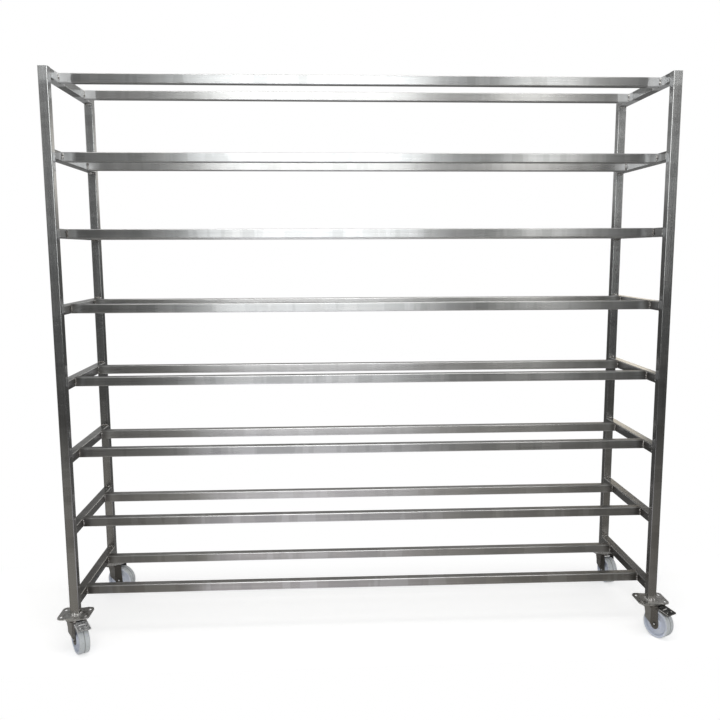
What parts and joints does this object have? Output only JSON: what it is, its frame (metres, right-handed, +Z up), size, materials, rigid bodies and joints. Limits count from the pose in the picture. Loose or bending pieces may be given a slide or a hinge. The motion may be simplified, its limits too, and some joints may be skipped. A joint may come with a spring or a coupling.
{
  "type": "dairy transport rack",
  "caption": "Open rack of welded square stainless tube with paired rails on every level, on swivel castors with nylon wheels, the front ones braked",
  "frame": {"origin": "on the floor under the middle of the rectangle of the four posts", "axes": "X runs along the rack to the right, Y from the front to the back, Z up"},
  "size_m": [2.0748, 0.6152, 1.876],
  "materials": {
    "tube_steel": "brushed stainless square tube, welds ground bright at the joints",
    "castor_steel": "pressed stainless sheet, matt from the press",
    "wheel_nylon": "moulded white nylon, slightly scuffed on the tread",
    "brake_pad": "dark moulded brake block",
    "fastener_steel": "plain bright fasteners"
  },
  "bodies": {
    "frame": {"post_front_left": "tube_steel", "post_front_right": "tube_steel", "post_rear_left": "tube_steel", "post_rear_right": "tube_steel", "post_caps": "tube_steel", "side_bar_left_1": "tube_steel", "side_bar_right_1": "tube_steel", "rail_front_1": "tube_steel", "rail_rear_1": "tube_steel", "side_bar_left_2": "tube_steel", "side_bar_right_2": "tube_steel", "rail_front_2": "tube_steel", "rail_rear_2": "tube_steel", "side_bar_left_3": "tube_steel", "side_bar_right_3": "tube_steel", "rail_front_3": "tube_steel", "rail_rear_3": "tube_steel", "side_bar_left_4": "tube_steel", "side_bar_right_4": "tube_steel", "rail_front_4": "tube_steel", "rail_rear_4": "tube_steel", "side_bar_left_5": "tube_steel", "side_bar_right_5": "tube_steel", "rail_front_5": "tube_steel", "rail_rear_5": "tube_steel", "side_bar_left_6": "tube_steel", "side_bar_right_6": "tube_steel", "rail_front_6": "tube_steel", "rail_rear_6": "tube_steel", "side_bar_left_7": "tube_steel", "side_bar_right_7": "tube_steel", "rail_front_7": "tube_steel", "rail_rear_7": "tube_steel", "side_bar_left_8": "tube_steel", "side_bar_right_8": "tube_steel", "rail_front_8": "tube_steel", "rail_rear_8": "tube_steel", "castor_plate_front_left": "castor_steel", "castor_plate_front_right": "castor_steel", "castor_plate_rear_left": "castor_steel", "castor_plate_rear_right": "castor_steel", "king_pins": "fastener_steel", "swivel_balls": "fastener_steel"},
    "swivel_front_left": {"fork_front_left": "castor_steel", "fork_hardware_front_left": "fastener_steel"},
    "wheel_body_front_left": {"wheel_front_left": "wheel_nylon"},
    "pedal_front_left": {"brake_pedal_front_left": "castor_steel", "brake_shoe_front_left": "brake_pad"},
    "swivel_front_right": {"fork_front_right": "castor_steel", "fork_hardware_front_right": "fastener_steel"},
    "wheel_body_front_right": {"wheel_front_right": "wheel_nylon"},
    "pedal_front_right": {"brake_pedal_front_right": "castor_steel", "brake_shoe_front_right": "brake_pad"},
    "swivel_rear_left": {"fork_rear_left": "castor_steel", "fork_hardware_rear_left": "fastener_steel"},
    "wheel_body_rear_left": {"wheel_rear_left": "wheel_nylon"},
    "swivel_rear_right": {"fork_rear_right": "castor_steel", "fork_hardware_rear_right": "fastener_steel"},
    "wheel_body_rear_right": {"wheel_rear_right": "wheel_nylon"}
  },
  "joints": [
    {"name": "swivel_turn_front_left", "type": "hinge", "parent": "frame", "child": "swivel_front_left", "pos_m": [-0.98, -0.24, 0.1125], "axis": [0, 0, 1], "continuous": true},
    {"name": "wheel_spin_front_left", "type": "hinge", "parent": "swivel_front_left", "child": "wheel_body_front_left", "pos_m": [-0.95958, -0.27145, 0.05], "axis": [0.8387, 0.5446, 0], "continuous": true},
    {"name": "pedal_press_front_left", "type": "hinge", "parent": "swivel_front_left", "child": "pedal_front_left", "pos_m": [-0.95794, -0.27397, 0.105], "axis": [0.8387, 0.5446, 0], "range_deg": [0, 9]},
    {"name": "swivel_turn_front_right", "type": "hinge", "parent": "frame", "child": "swivel_front_right", "pos_m": [0.98, -0.24, 0.1125], "axis": [0, 0, 1], "continuous": true},
    {"name": "wheel_spin_front_right", "type": "hinge", "parent": "swivel_front_right", "child": "wheel_body_front_right", "pos_m": [0.99875, -0.27248, 0.05], "axis": [0.866, 0.5, 0], "continuous": true},
    {"name": "pedal_press_front_right", "type": "hinge", "parent": "swivel_front_right", "child": "pedal_front_right", "pos_m": [1.00025, -0.27507, 0.105], "axis": [0.866, 0.5, 0], "range_deg": [0, 9]},
    {"name": "swivel_turn_rear_left", "type": "hinge", "parent": "frame", "child": "swivel_rear_left", "pos_m": [-0.98, 0.24, 0.1125], "axis": [0, 0, 1], "continuous": true},
    {"name": "wheel_spin_rear_left", "type": "hinge", "parent": "swivel_rear_left", "child": "wheel_body_rear_left", "pos_m": [-0.94424, 0.22872, 0.05], "axis": [0.3007, 0.9537, 0], "continuous": true},
    {"name": "swivel_turn_rear_right", "type": "hinge", "parent": "frame", "child": "swivel_rear_right", "pos_m": [0.98, 0.24, 0.1125], "axis": [0, 0, 1], "continuous": true},
    {"name": "wheel_spin_rear_right", "type": "hinge", "parent": "swivel_rear_right", "child": "wheel_body_rear_right", "pos_m": [0.98619, 0.20301, 0.05], "axis": [0.9863, 0.165, 0], "continuous": true}
  ]
}
